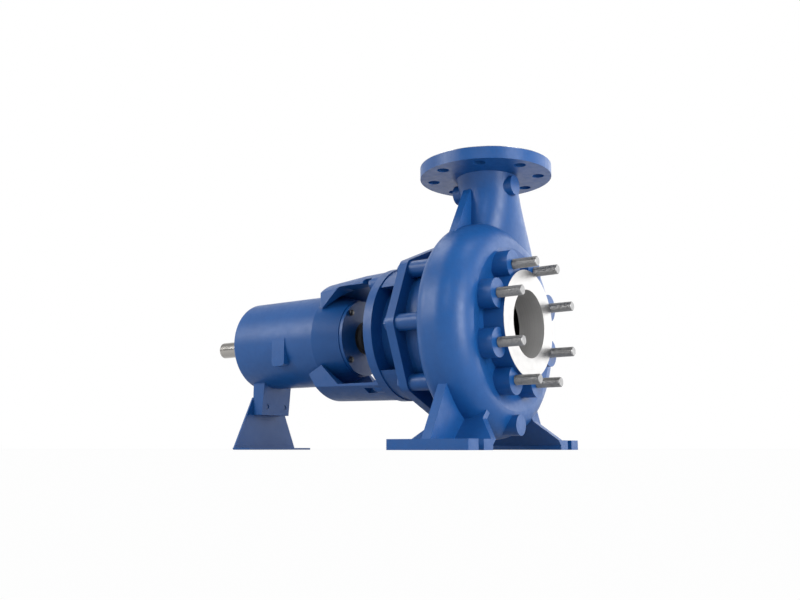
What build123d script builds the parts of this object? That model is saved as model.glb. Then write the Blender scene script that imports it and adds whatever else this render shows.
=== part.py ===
from build123d import *
from math import cos, radians, sin, sqrt
import os

# Horizontal end suction pump with a recessed vortex impeller, in millimetres.
# The shaft lies along X, the suction side looks along +X, and +Z is up.
# The origin is on the floor, half way between the stud tips and the shaft end.
# Every piece is modelled about the shaft axis and lifted to shaft height when it is saved.

# Main sizes of the pump
shaft_height = 180.0
discharge_rise = 250.0
suction_reach = 68.0
drive_reach = 552.0
stud_stand_out = 32.0

# Clearances between pieces that are assembled
fit_gap = 0.04
seat_gap = 0.1
screw_gap = 0.15

# Stations along the shaft axis
overall_length = drive_reach + suction_reach + stud_stand_out
suction_x = overall_length / 2 - stud_stand_out
discharge_x = suction_x - suction_reach
shaft_end_x = discharge_x - drive_reach

# Vortex casing: a round chamber set a little off the shaft axis, away from the cutwater
casing_radius = 161.0
casing_shift_y = 4.5
casing_shift_z = -4.5
casing_wall = 9.0
casing_width = 76.0
casing_front_setback = 26.0
front_round = 40.0
rear_round = 20.0
front_dish = 6.0
dish_radius = 96.0
casing_front_x = suction_x - casing_front_setback
casing_back_x = casing_front_x - casing_width
dish_x = casing_front_x - front_dish

# Suction end: raised machined face, bore and stud bosses
suction_bore = 100.0
suction_face_diameter = 158.0
suction_pitch_circle = 180.0
stud_count = 8
stud_diameter = 14.7
stud_boss_diameter = 42.0
stud_boss_setback = 6.0
stud_depth = 24.0
stud_root_diameter = 14.0

# Discharge neck and flange
flange_diameter = 200.0
flange_thickness = 18.0
flange_face_height = 2.0
flange_face_diameter = 138.0
discharge_bore = 80.0
discharge_pitch_circle = 160.0
discharge_hole = 18.0
discharge_hole_count = 8
neck_wall = 7.0
neck_heights = (80.0, 113.0, 164.0, 200.0, 231.0)
neck_half_lengths = (36.0, 38.0, 43.0, 45.0, 46.5)
neck_near_sides = (-34.0, -34.0, -34.0, -33.0, -43.5)
neck_far_sides = (140.0, 129.0, 87.5, 60.0, 50.5)
passage_start_height = 96.0
gauge_boss_diameter = 30.0
gauge_boss_front_reach = 50.5
gauge_boss_rear_reach = 50.0
gauge_boss_drop = 38.0

# Gusset between the neck and the top of the casing
gusset_thickness = 12.0
gusset_setback = 13.0
gusset_top = 207.0
gusset_base_height = 130.0
gusset_base_reach = 80.0

# Feet of the casing
foot_length = 127.0
foot_width = 65.0
foot_thickness = 14.5
foot_spread = 346.0
foot_hole_spread = 280.0
foot_slot_width = 14.0
foot_slot_depth = 34.0
foot_corner = 1.5
leg_thickness = 13.0
leg_inset = 60.0
leg_height = 56.0
leg_edge_slope = 28.0
web_thickness = 14.0
web_top_reach = 130.5
web_top_drop = 91.0

# Drain boss at the bottom of the casing front
drain_boss_diameter = 30.0
drain_boss_drop = 145.0
drain_boss_setback = 17.0
drain_boss_length = 50.0

# Back opening of the casing, with the tubular screw bosses round it
back_bore = 184.0
back_neck_diameter = 212.0
back_neck_length = 37.0
screw_circle = 236.0
screw_count = 8
screw_boss_diameter = 25.0
screw_boss_length = 45.5
screw_diameter = 12.0
screw_bite = 34.0
head_height_ratio = 0.64
head_width_ratio = 1.5
washer_height_ratio = 0.18

# Casing cover with its seal chamber
gasket_inset = 1.0
gasket_thickness = 1.0
cover_rim_diameter = 206.0
cover_spigot_length = 25.0
cover_hub_diameter = 130.0
cover_hub_length = 48.5
cover_pilot_diameter = 150.0
cover_pilot_length = 8.0
seal_chamber_diameter = 72.0
seal_chamber_wall = 12.0
hub_passage_gap = 1.0

# Adapter between casing and bearing bracket
plate_thickness = 14.0
plate_corner_round = 15.5
barrel_diameter = 206.0
barrel_bore = 168.0
barrel_length = 46.0
pocket_half_height = 63.0
pocket_floor_diameter = 156.0
ring_diameter = 210.0
ring_bore = 146.0
ring_thickness = 15.0

# Bearing bracket: housing, lantern straps and foot lug
housing_diameter = 150.6
housing_length = 219.0
lantern_length = 81.0
housing_nose_length = 45.0
housing_nose_depth = 13.0
housing_edge_round = 4.0
strap_wall = 15.0
strap_half_width = 61.0
strap_root_sink = 3.0
lower_shoulder_back = 127.0
lower_root_back = 153.0
lower_shoulder_radius = 101.0
upper_shoulder_back = 49.0
upper_root_back = 119.5
upper_shoulder_radius = 101.0
upper_root_radius = 94.0
window_half_height = 78.0
window_throat_back = 82.0
window_waist_back = 116.0
window_waist_half_height = 46.0
window_heel_half_height = 66.0
lug_circle = 188.0
lug_diameter = 22.0
lug_length = 14.0
upper_lug_angle = 37.0
lower_lug_angle = 29.0
bracket_screw_diameter = 10.0
bracket_screw_bite = 12.0
side_pad_width = 27.0
side_pad_height = 44.5
side_pad_back = 209.0
side_pad_stand_out = 1.4
side_pad_round = 6.0
sump_diameter = 122.0
sump_margin = 12.0
foot_lug_width = 68.0
foot_lug_drop = 121.0
foot_lug_thickness = 21.0
foot_lug_root_thickness = 28.0
foot_lug_inset = 11.0

# Bent sheet support foot with its two bolts
support_sheet = 3.0
support_foot_reach = 36.0
support_foot_width = 154.0
support_top_width = 68.0
support_top_drop = 91.0
support_bend = 3.5
support_hole_spread = 150.0
foot_bolt_spread = 44.0
foot_bolt_drop = 107.0
foot_bolt_diameter = 8.0

# Shaft: diameters of its seats
coupling_seat_diameter = 28.0
coupling_seat_length = 60.0
rear_seal_land = 32.0
rear_bearing_bore = 35.0
shaft_body = 48.0
front_bearing_bore = 40.0
front_seal_land = 36.0
sleeve_seat_diameter = 26.0
impeller_seat_diameter = 24.0
shaft_chamfer = 1.5

# Rolling bearings
front_bearing_outside = 90.0
front_bearing_width = 23.0
front_bearing_setback = 8.0
roller_diameter = 11.0
roller_length = 14.0
roller_count = 12
rear_bearing_outside = 80.0
rear_bearing_width = 21.0
rear_bearing_setback = 26.0
ball_diameter = 13.4
ball_count = 8
race_lip_height = 2.0
race_groove_gap = 0.12
cage_gap = 0.3
cage_bar = 1.6
lock_nut_width = 9.0
lock_nut_diameter = 52.0
lock_washer_thickness = 1.5

# Bearing covers and shaft seals
bearing_cover_diameter = 122.0
bearing_cover_thickness = 6.0
bearing_cover_screw_circle = 107.0
bearing_cover_screws = 4
bearing_cover_screw_diameter = 6.0
bearing_cover_screw_bite = 12.0
lip_seal_outside = 52.0
lip_seal_width = 7.0
cover_spigot_wall = 5.0
flinger_diameter = 58.0
flinger_width = 6.0
flinger_gap = 8.0

# Mechanical seal on the shaft sleeve
sleeve_diameter = 34.0
seal_cover_diameter = 118.0
seal_cover_thickness = 9.0
seal_cover_screw_circle = 96.0
seal_cover_screws = 4
seal_cover_screw_diameter = 8.0
seal_cover_screw_bite = 16.0
seal_seat_diameter = 58.0
seal_seat_width = 8.0
seal_ring_diameter = 50.0
seal_ring_width = 10.0
seal_collar_diameter = 52.0
seal_collar_width = 10.0
seal_collar_offset = 6.0
bellows_wall = 1.2
bellows_folds = 6
bellows_depth = 5.0

# Recessed vortex impeller
impeller_diameter = 164.0
shroud_thickness = 5.0
vane_height = 14.0
vane_thickness = 6.0
vane_count = 8
vane_lean = 22.0
impeller_hub_diameter = 42.0
impeller_nose_diameter = 44.0
impeller_back_gap = 2.0
impeller_hub_length = 14.0
impeller_screw_diameter = 12.0
key_width = 8.0
key_height = 7.0
impeller_key_length = 18.0
coupling_key_length = 45.0
coupling_key_turn = -67.5

# Stations that follow from the sizes above
back_neck_x = casing_back_x - back_neck_length
plate_front_x = casing_back_x - screw_boss_length
plate_back_x = plate_front_x - plate_thickness
ring_front_x = plate_back_x - barrel_length
ring_back_x = ring_front_x - ring_thickness
housing_front_x = ring_back_x - lantern_length
housing_back_x = housing_front_x - housing_length
cover_rim_front_x = back_neck_x - gasket_thickness
cover_front_x = cover_rim_front_x + cover_spigot_length
cover_hub_back_x = plate_front_x - cover_hub_length
shroud_back_x = cover_front_x + impeller_back_gap
shroud_front_x = shroud_back_x + shroud_thickness
vane_front_x = shroud_front_x + vane_height
hub_back_x = cover_front_x - impeller_hub_length
seal_chamber_x = cover_front_x - seal_chamber_wall
front_bearing_front_x = housing_front_x - front_bearing_setback
front_bearing_back_x = front_bearing_front_x - front_bearing_width
rear_bearing_back_x = housing_back_x + rear_bearing_setback
rear_bearing_front_x = rear_bearing_back_x + rear_bearing_width
sleeve_back_x = cover_hub_back_x - seal_cover_thickness - seat_gap
floor_z = -shaft_height


def rod(start_x, end_x, diameter, y=0.0, z=0.0):
    """A round bar along X between two stations."""
    length = abs(end_x - start_x)
    middle = (start_x + end_x) / 2
    return Pos(middle, y, z) * Rot(0, 90, 0) * Cylinder(diameter / 2, length)


def tube(start_x, end_x, outside, inside):
    """A round tube along X, centred on the shaft."""
    overrun = 1.0
    low, high = min(start_x, end_x), max(start_x, end_x)
    return rod(low, high, outside) - rod(low - overrun, high + overrun, inside)


def block(low, high):
    """A box between two corners."""
    size = [b - a for a, b in zip(low, high)]
    middle = [(a + b) / 2 for a, b in zip(low, high)]
    return Pos(*middle) * Box(*size)


def turned(points):
    """A solid of revolution about the shaft from (station, radius) points."""
    outline = Plane.XZ * make_face(Polyline(*points, close=True))
    return revolve(outline, Axis.X)


def round_places(circle, count, start_angle):
    """Places (y, z) spaced evenly on a circle about the shaft."""
    step = 360.0 / count
    angles = [radians(start_angle + step * k) for k in range(count)]
    return [(circle / 2 * cos(a), circle / 2 * sin(a)) for a in angles]


def cross_plate(points, start_x, end_x):
    """A flat plate across the shaft: (y, z) outline drawn out along X."""
    outline = Plane.YZ * make_face(Polyline(*points, close=True))
    return Pos(min(start_x, end_x), 0, 0) * extrude(outline, abs(end_x - start_x), dir=(1, 0, 0))


def side_plate(points, low_y, high_y):
    """A plate along the shaft: (x, z) outline drawn out along Y."""
    outline = Plane.XZ * make_face(Polyline(*points, close=True))
    return Pos(0, low_y, 0) * extrude(outline, high_y - low_y, dir=(0, 1, 0))


def hex_bar(start_x, end_x, across_flats, y, z):
    """A hexagonal bar along X, used for screw heads and nuts."""
    corner_radius = across_flats / sqrt(3)
    outline = Plane.YZ * Pos(y, z) * RegularPolygon(corner_radius, 6)
    return Pos(min(start_x, end_x), 0, 0) * extrude(outline, abs(end_x - start_x), dir=(1, 0, 0))


def hex_screw(seat_x, direction, diameter, reach, y, z, washer=0.0):
    """A hex screw whose head rests at seat_x and whose shank runs along direction."""
    head_x = seat_x - direction * washer
    head_end = head_x - direction * diameter * head_height_ratio
    head = hex_bar(head_x, head_end, diameter * head_width_ratio, y, z)
    return head + rod(head_x, seat_x + direction * reach, diameter, y, z)


def fuse(pieces):
    """One solid from several that meet."""
    whole = pieces[0]
    for piece in pieces[1:]:
        whole = whole + piece
    return whole


def chamber_profile(shrink):
    """Half section of the vortex chamber, drawn in by the wall thickness."""
    outer = casing_radius - shrink
    front, back = casing_front_x - shrink, casing_back_x + shrink
    front_arc, rear_arc = front_round - shrink, rear_round - shrink
    with BuildSketch(Plane.XZ) as section:
        with BuildLine():
            rim = Line((back + rear_arc, outer), (front - front_arc, outer))
            front_curve = TangentArc(rim @ 1, (front, outer - front_arc), tangent=(1, 0))
            dish = Line(front_curve @ 1, (dish_x - shrink, dish_radius))
            face = Line(dish @ 1, (dish_x - shrink, 0))
            axis_line = Line(face @ 1, (back, 0))
            wall = Line(axis_line @ 1, (back, outer - rear_arc))
            TangentArc(wall @ 1, rim @ 0, tangent=(0, 1))
        make_face()
    return section.sketch


def chamber_solid(shrink):
    """The vortex chamber turned about its own axis beside the shaft."""
    return Pos(0, casing_shift_y, casing_shift_z) * revolve(chamber_profile(shrink), Axis.X)


def neck_section(height, half_length, near_side, far_side):
    """One oval section of the discharge neck at a height above the shaft."""
    middle_y = (near_side + far_side) / 2
    return Pos(discharge_x, middle_y, height) * Ellipse(half_length, (far_side - near_side) / 2)


def discharge_neck():
    """Swan neck outside, lofted from the chamber side up to the round flange."""
    sizes = zip(neck_heights, neck_half_lengths, neck_near_sides, neck_far_sides)
    return loft(Sketch() + [neck_section(*size) for size in sizes])


def discharge_passage():
    """Water passage inside the swan neck, ending in the round flange bore."""
    sections = []
    for height, half, near, far in zip(neck_heights, neck_half_lengths, neck_near_sides, neck_far_sides):
        level = max(height, passage_start_height)
        if height == neck_heights[-1]:
            bore = discharge_bore / 2
            sections.append(neck_section(level, bore, -bore, bore))
        else:
            sections.append(neck_section(level, half - neck_wall, near + neck_wall, far - neck_wall))
    curved = loft(Sketch() + sections)
    straight_length = discharge_rise - neck_heights[-1] + 1.0
    straight = Pos(discharge_x, 0, neck_heights[-1] + straight_length / 2)
    return curved + straight * Cylinder(discharge_bore / 2, straight_length)


def discharge_flange():
    """Round flange with a low raised face on top."""
    underside = discharge_rise - flange_face_height - flange_thickness
    middle = Pos(discharge_x, 0, underside + flange_thickness / 2)
    disc = middle * Cylinder(flange_diameter / 2, flange_thickness)
    face = Pos(discharge_x, 0, discharge_rise - flange_face_height / 2)
    return disc + face * Cylinder(flange_face_diameter / 2, flange_face_height)


def discharge_bolt_holes():
    """Bolt holes of the discharge flange, straddling the centre lines."""
    drill = Cylinder(discharge_hole / 2, 3 * flange_thickness)
    half_step = 180.0 / discharge_hole_count
    places = PolarLocations(discharge_pitch_circle / 2, discharge_hole_count, half_step)
    return [Pos(discharge_x, 0, discharge_rise - flange_thickness) * place * drill for place in places]


def foot(side):
    """One cast foot: slanted leg, floor pad and outer web. Side is -1 or +1 along Y."""
    outer, inner = side * foot_spread / 2, side * (foot_spread / 2 - foot_width)
    pad_top = floor_z + foot_thickness
    leg_out = side * (foot_spread / 2 - leg_inset)
    leg_in = leg_out - side * leg_thickness
    front, back = discharge_x + foot_length / 2, discharge_x - foot_length / 2
    leg_run = side * leg_height
    sink = abs(inner) - abs(leg_in)
    wall = cross_plate(
        [
            (leg_out, pad_top),
            (leg_out - leg_run, pad_top + leg_height),
            (leg_in - leg_run, pad_top + leg_height),
            (inner, pad_top - sink),
            (leg_out, pad_top - sink),
        ],
        back,
        front,
    )
    cut_back = side_plate(
        [
            (back, floor_z),
            (front, floor_z),
            (front, pad_top),
            (front - leg_edge_slope, pad_top + leg_edge_slope),
            (front - leg_edge_slope, pad_top + leg_height),
            (back + leg_edge_slope, pad_top + leg_height),
            (back + leg_edge_slope, pad_top + leg_edge_slope),
            (back, pad_top),
        ],
        -foot_spread,
        foot_spread,
    )
    pad = block((back, min(outer, inner), floor_z), (front, max(outer, inner), pad_top))
    upright = pad.edges().filter_by(Axis.Z).sort_by(Axis.Y)
    outer_corners = upright[-2:] if side > 0 else upright[:2]
    pad = fillet(outer_corners, foot_corner)
    web = cross_plate(
        [
            (outer, pad_top),
            (side * web_top_reach, -web_top_drop),
            (side * (web_top_reach - leg_height), -web_top_drop),
            (leg_out - leg_run, pad_top + leg_height),
            (leg_out, pad_top),
        ],
        discharge_x - web_thickness / 2,
        discharge_x + web_thickness / 2,
    )
    return (wall & cut_back) + pad + web


def foot_slots():
    """Open ended bolt slots at both ends of each foot pad."""
    slots = []
    for side in (-1, 1):
        for end in (-1, 1):
            mouth = discharge_x + end * foot_length / 2
            root = mouth - end * (foot_slot_depth - foot_slot_width / 2)
            y = side * foot_hole_spread / 2
            half = foot_slot_width / 2
            low, high = min(mouth + end, root), max(mouth + end, root)
            z = floor_z + foot_thickness / 2
            slots.append(block((low, y - half, floor_z - 1), (high, y + half, floor_z + foot_thickness + 1)))
            slots.append(Pos(root, y, z) * Cylinder(half, foot_thickness + 2))
    return slots


def make_volute_casing():
    """Cast casing: chamber, suction end, swan neck, flange, feet and bosses in one solid."""
    face_diameter = suction_face_diameter
    half_step = 180.0 / stud_count
    bosses = [
        rod(dish_x - casing_wall, suction_x - stud_boss_setback, stud_boss_diameter, y, z)
        for y, z in round_places(suction_pitch_circle, stud_count, half_step)
    ]
    screw_bosses = [
        rod(casing_back_x + casing_wall / 2, plate_front_x, screw_boss_diameter, y, z)
        for y, z in round_places(screw_circle, screw_count, 0)
    ]
    gauge_bosses = rod(
        discharge_x - gauge_boss_rear_reach,
        discharge_x + gauge_boss_front_reach,
        gauge_boss_diameter,
        z=discharge_rise - gauge_boss_drop,
    )
    gusset_x = discharge_x - gusset_setback
    gusset = cross_plate(
        [
            (0, gusset_top),
            (neck_near_sides[-2] - 2, gusset_top),
            (-gusset_base_reach, gusset_base_height),
            (0, gusset_base_height),
        ],
        gusset_x - gusset_thickness / 2,
        gusset_x + gusset_thickness / 2,
    )
    drain_front = suction_x - drain_boss_setback
    drain = rod(drain_front - drain_boss_length, drain_front, drain_boss_diameter, z=-drain_boss_drop)
    body = fuse(
        [chamber_solid(0)]
        + [rod(dish_x - casing_wall, suction_x, face_diameter)]
        + bosses
        + [rod(casing_back_x + casing_wall, back_neck_x, back_neck_diameter)]
        + screw_bosses
        + [discharge_neck(), gusset]
        + [gauge_bosses, discharge_flange(), foot(-1), foot(1), drain]
    )
    hollow = chamber_solid(casing_wall) + discharge_passage()
    body = body - hollow
    body = body - rod(suction_x + 1, dish_x - 2 * casing_wall, suction_bore)
    body = body - rod(casing_back_x + 2 * casing_wall, back_neck_x - 1, back_bore)
    for hole in discharge_bolt_holes() + foot_slots():
        body = body - hole
    for y, z in round_places(suction_pitch_circle, stud_count, half_step):
        bottom = suction_x - stud_boss_setback - stud_depth - seat_gap
        body = body - rod(bottom, suction_x, stud_root_diameter + 2 * fit_gap, y, z)
    for y, z in round_places(screw_circle, screw_count, 0):
        bottom = plate_front_x + screw_bite + seat_gap
        body = body - rod(bottom, plate_front_x - 1, screw_diameter + 2 * fit_gap, y, z)
    return body


def make_suction_studs():
    """Studs screwed into the bosses round the suction face."""
    half_step = 180.0 / stud_count
    boss_top = suction_x - stud_boss_setback
    end = suction_x + stud_stand_out
    shank = rod(boss_top, end, stud_diameter)
    shank = chamfer(shank.edges().filter_by(GeomType.CIRCLE).sort_by(Axis.X)[-1], shaft_chamfer)
    stud = shank + rod(boss_top - stud_depth, boss_top, stud_root_diameter)
    return [Pos(0, y, z) * stud for y, z in round_places(suction_pitch_circle, stud_count, half_step)]


def make_cover_gasket():
    """Flat gasket between the casing back and the rim of the cover."""
    return [tube(back_neck_x, cover_rim_front_x, cover_rim_diameter, back_bore + 2 * gasket_inset)]


def make_casing_cover():
    """Cover with front spigot, clamped rim, rear pilot and the seal chamber hub."""
    spigot = rod(cover_front_x, cover_rim_front_x, back_bore - 2 * seat_gap)
    rim = rod(cover_rim_front_x, plate_front_x, cover_rim_diameter)
    pilot = rod(plate_front_x, plate_front_x - cover_pilot_length, cover_pilot_diameter)
    hub = rod(plate_front_x, cover_hub_back_x, cover_hub_diameter)
    cover = spigot + rim + pilot + hub
    passage = impeller_hub_diameter + 2 * hub_passage_gap
    cover = cover - rod(cover_front_x + 1, seal_chamber_x - 1, passage)
    cover = cover - rod(seal_chamber_x, cover_hub_back_x - 1, seal_chamber_diameter)
    for y, z in round_places(seal_cover_screw_circle, seal_cover_screws, 45):
        bottom = cover_hub_back_x + seal_cover_screw_bite + seat_gap
        cover = cover - rod(bottom, cover_hub_back_x - 1, seal_cover_screw_diameter + 2 * fit_gap, y, z)
    return [cover]


def make_adapter():
    """Octagonal plate, pocketed barrel and rear ring in one casting."""
    octagon = offset(RegularPolygon(screw_circle / 2, screw_count), plate_corner_round)
    plate = Pos(plate_back_x, 0, 0) * extrude(Plane.YZ * octagon, plate_thickness, dir=(1, 0, 0))
    barrel = tube(plate_back_x, ring_front_x, barrel_diameter, barrel_bore)
    barrel = barrel - block(
        (ring_front_x - 1, -barrel_diameter, -pocket_half_height),
        (plate_back_x + 1, barrel_diameter, pocket_half_height),
    )
    ring = tube(ring_front_x, ring_back_x, ring_diameter, ring_bore)
    pocket_floor = tube(plate_back_x, ring_front_x, pocket_floor_diameter, ring_bore)
    adapter = plate + barrel + pocket_floor + ring
    adapter = adapter - rod(plate_front_x + 1, plate_back_x - 1, cover_pilot_diameter + 2 * fit_gap)
    for y, z in round_places(screw_circle, screw_count, 0):
        adapter = adapter - rod(plate_front_x + 1, plate_back_x - 1, screw_diameter + 2 * screw_gap, y, z)
    for y, z in lug_places():
        bottom = ring_back_x + bracket_screw_bite + seat_gap
        adapter = adapter - rod(bottom, ring_back_x - 1, bracket_screw_diameter + 2 * fit_gap, y, z)
    return [adapter]


def make_casing_screws():
    """Hex screws from the back of the octagonal plate into the casing bosses."""
    reach = plate_thickness + screw_bite
    places = round_places(screw_circle, screw_count, 0)
    return [hex_screw(plate_back_x, 1, screw_diameter, reach, y, z) for y, z in places]


def lug_places():
    """Centres of the four screw lugs at the ends of the lantern straps."""
    radius = lug_circle / 2
    upper = [90 - upper_lug_angle, 90 + upper_lug_angle]
    lower = [270 - lower_lug_angle, 270 + lower_lug_angle]
    angles = [radians(angle) for angle in upper + lower]
    return [(radius * cos(a), radius * sin(a)) for a in angles]


def lantern_window(side):
    """Side opening of the lantern below (-1) or above (+1) the shaft."""
    throat = ring_back_x - window_throat_back
    waist = ring_back_x - window_waist_back
    root = ring_back_x - lower_root_back
    return side_plate(
        [
            (ring_back_x + 1, 0),
            (ring_back_x + 1, side * window_half_height),
            (throat, side * window_half_height),
            (waist, side * window_waist_half_height),
            (root, side * window_heel_half_height),
            (root, 0),
        ],
        -housing_diameter,
        housing_diameter,
    )


def lantern_straps():
    """Upper and lower straps between the housing and the adapter ring."""
    root_radius = housing_diameter / 2 - strap_root_sink
    outer = barrel_diameter / 2
    inner = outer - strap_wall
    lower = turned(
        [
            (ring_back_x, inner),
            (ring_back_x, outer),
            (ring_back_x - lower_shoulder_back, lower_shoulder_radius),
            (ring_back_x - lower_root_back, root_radius),
            (ring_back_x - window_waist_back, root_radius),
            (ring_back_x - window_throat_back, inner),
        ]
    )
    upper = turned(
        [
            (ring_back_x, inner),
            (ring_back_x, outer),
            (ring_back_x - upper_shoulder_back, upper_shoulder_radius),
            (ring_back_x - upper_root_back, upper_root_radius),
            (ring_back_x - upper_root_back, root_radius),
            (ring_back_x - window_waist_back, root_radius),
            (ring_back_x - window_throat_back, inner - strap_wall / 2),
        ]
    )
    span = housing_diameter
    low_half = block((shaft_end_x, -strap_half_width, -span), (discharge_x, strap_half_width, 0))
    top_half = block((shaft_end_x, -strap_half_width, 0), (discharge_x, strap_half_width, span))
    return [(lower & low_half) - lantern_window(-1), (upper & top_half) - lantern_window(1)]


def make_bearing_bracket():
    """Bearing housing with lantern straps, screw lugs, side pad and foot lug."""
    radius = housing_diameter / 2
    housing = turned(
        [
            (housing_back_x, 0),
            (housing_back_x, radius),
            (housing_front_x - housing_nose_length, radius),
            (housing_front_x, radius - housing_nose_depth),
            (housing_front_x, 0),
        ]
    )
    housing = fillet(housing.edges().sort_by(Axis.X)[0], housing_edge_round)
    lugs = [rod(ring_back_x - lug_length, ring_back_x, lug_diameter, y, z) for y, z in lug_places()]
    pad_front = ring_back_x - side_pad_back + side_pad_width
    pad = block(
        (pad_front - side_pad_width, -housing_diameter / 2 - side_pad_stand_out, -side_pad_height),
        (pad_front, -housing_diameter / 4, 0),
    )
    pad = fillet(pad.edges().filter_by(Axis.Y).sort_by(Axis.Z)[:2], side_pad_round)
    lug_back_x = housing_back_x + foot_lug_inset
    foot_lug = side_plate(
        [
            (lug_back_x, -foot_lug_drop),
            (lug_back_x + foot_lug_thickness, -foot_lug_drop),
            (lug_back_x + foot_lug_root_thickness, -housing_diameter / 4),
            (lug_back_x, -housing_diameter / 4),
        ],
        -foot_lug_width / 2,
        foot_lug_width / 2,
    )
    bracket = fuse([housing] + lantern_straps() + lugs + [pad, foot_lug])
    sump_front = front_bearing_back_x - sump_margin
    sump_back = rear_bearing_front_x + sump_margin
    inside_width = front_bearing_outside - 2 * sump_margin
    bracket = bracket - rod(sump_front, sump_back, sump_diameter)
    bracket = bracket - rod(housing_front_x + 1, housing_back_x - 1, inside_width)
    bracket = bracket - rod(housing_front_x + 1, front_bearing_back_x, front_bearing_outside + 2 * fit_gap)
    bracket = bracket - rod(housing_back_x - 1, rear_bearing_front_x, rear_bearing_outside + 2 * fit_gap)
    lug_back = ring_back_x - lug_length
    for y, z in lug_places():
        bracket = bracket - rod(ring_back_x + 1, lug_back - 1, bracket_screw_diameter + 2 * screw_gap, y, z)
        bracket = bracket - rod(lug_back, lug_back - 2 * bracket_screw_diameter, lug_diameter, y, z)
    drill = bearing_cover_screw_diameter + 2 * fit_gap
    bite = bearing_cover_screw_bite + seat_gap
    for y, z in round_places(bearing_cover_screw_circle, bearing_cover_screws, 45):
        bracket = bracket - rod(housing_front_x + 1, housing_front_x - bite, drill, y, z)
        bracket = bracket - rod(housing_back_x - 1, housing_back_x + bite, drill, y, z)
    for y in (-foot_bolt_spread / 2, foot_bolt_spread / 2):
        bracket = bracket - rod(
            lug_back_x - 1,
            lug_back_x + foot_lug_root_thickness,
            foot_bolt_diameter + 2 * screw_gap,
            y,
            -foot_bolt_drop,
        )
    return [bracket]


def make_bracket_screws():
    """Hex screws that hold the bracket lugs to the adapter ring."""
    seat = ring_back_x - lug_length
    reach = lug_length + bracket_screw_bite
    return [hex_screw(seat, 1, bracket_screw_diameter, reach, y, z) for y, z in lug_places()]


def bearing_cover(face_x, direction, bearing_x, bearing_outside, land):
    """Flanged cover with a spigot that holds the outer race. Direction points outwards."""
    outer_face = face_x + direction * bearing_cover_thickness
    flange = rod(face_x, outer_face, bearing_cover_diameter)
    spigot_diameter = bearing_outside - 2 * seat_gap
    cover = flange + rod(face_x, bearing_x, spigot_diameter)
    seal_bottom = outer_face - direction * lip_seal_width
    hollow = lip_seal_outside + 2 * cover_spigot_wall
    bore = land + 4
    cover = cover - rod(outer_face + direction, seal_bottom, lip_seal_outside + 2 * fit_gap)
    cover = cover - rod(outer_face + direction, bearing_x - direction, bore)
    shoulder = seal_bottom - direction * cover_spigot_wall
    if (shoulder - bearing_x) * direction > 0:
        cover = cover - rod(shoulder, bearing_x - direction, hollow)
    drill = bearing_cover_screw_diameter + 2 * screw_gap
    for y, z in round_places(bearing_cover_screw_circle, bearing_cover_screws, 45):
        cover = cover - rod(face_x - direction, outer_face + direction, drill, y, z)
    return cover


def cover_screws(face_x, direction):
    """Ring of hex screws through one bearing cover."""
    seat = face_x + direction * bearing_cover_thickness
    reach = bearing_cover_thickness + bearing_cover_screw_bite
    places = round_places(bearing_cover_screw_circle, bearing_cover_screws, 45)
    return [hex_screw(seat, -direction, bearing_cover_screw_diameter, reach, y, z) for y, z in places]


def make_front_bearing_cover():
    """Cover in front of the bearing at the pump end."""
    return [bearing_cover(housing_front_x, 1, front_bearing_front_x, front_bearing_outside, front_seal_land)]


def make_rear_bearing_cover():
    """Cover behind the bearing at the drive end."""
    return [bearing_cover(housing_back_x, -1, rear_bearing_back_x, rear_bearing_outside, rear_seal_land)]


def lip_seal(face_x, direction, land):
    """Radial shaft seal pressed into a bearing cover."""
    outer_face = face_x + direction * bearing_cover_thickness
    return tube(outer_face, outer_face - direction * lip_seal_width, lip_seal_outside, land + 2 * fit_gap)


def make_shaft():
    """Stepped shaft with keyways and a tapped front end."""
    seats = [
        (shaft_end_x, coupling_seat_diameter),
        (shaft_end_x + coupling_seat_length, rear_seal_land),
        (rear_bearing_back_x - lock_nut_width - lock_washer_thickness, rear_bearing_bore),
        (rear_bearing_front_x, shaft_body),
        (front_bearing_back_x, front_bearing_bore),
        (front_bearing_front_x, front_seal_land),
        (sleeve_back_x, sleeve_seat_diameter),
        (hub_back_x, impeller_seat_diameter),
        (shroud_front_x, 0),
    ]
    points = [(shaft_end_x, 0), (shaft_end_x, coupling_seat_diameter / 2 - shaft_chamfer)]
    points.append((shaft_end_x + shaft_chamfer, coupling_seat_diameter / 2))
    for (start, diameter), (end, next_diameter) in zip(seats, seats[1:]):
        points.append((end, diameter / 2))
        points.append((end, next_diameter / 2))
    shaft = turned(points)
    tap_depth = 3 * impeller_screw_diameter
    tap = impeller_screw_diameter + 2 * fit_gap
    shaft = shaft - rod(shroud_front_x + 1, shroud_front_x - tap_depth, tap)
    return shaft - impeller_key_blank(fit_gap) - coupling_key_blank(fit_gap)


def key_blank(middle_x, length, seat_diameter, gap):
    """Round ended key on top of a seat, grown by the gap for its keyway."""
    bottom = seat_diameter / 2 - key_height / 2 - 0.5 - gap
    outline = SlotOverall(length + 2 * gap, key_width + 2 * gap)
    return Pos(middle_x, 0, bottom) * extrude(outline, key_height + 2 * gap)


def impeller_key_blank(gap):
    """Key between shaft and impeller hub, grown by the gap for its keyways."""
    middle = (hub_back_x + shroud_front_x) / 2
    return key_blank(middle, impeller_key_length, impeller_seat_diameter, gap)


def coupling_key_blank(gap):
    """Key in the drive end of the shaft, grown by the gap for its keyway."""
    middle = shaft_end_x + coupling_seat_length / 2
    return Rot(coupling_key_turn, 0, 0) * key_blank(middle, coupling_key_length, coupling_seat_diameter, gap)


def make_shaft_sleeve():
    """Wearing sleeve between impeller hub and shaft shoulder."""
    return [tube(hub_back_x, sleeve_back_x, sleeve_diameter, sleeve_seat_diameter + 2 * fit_gap)]


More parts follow.
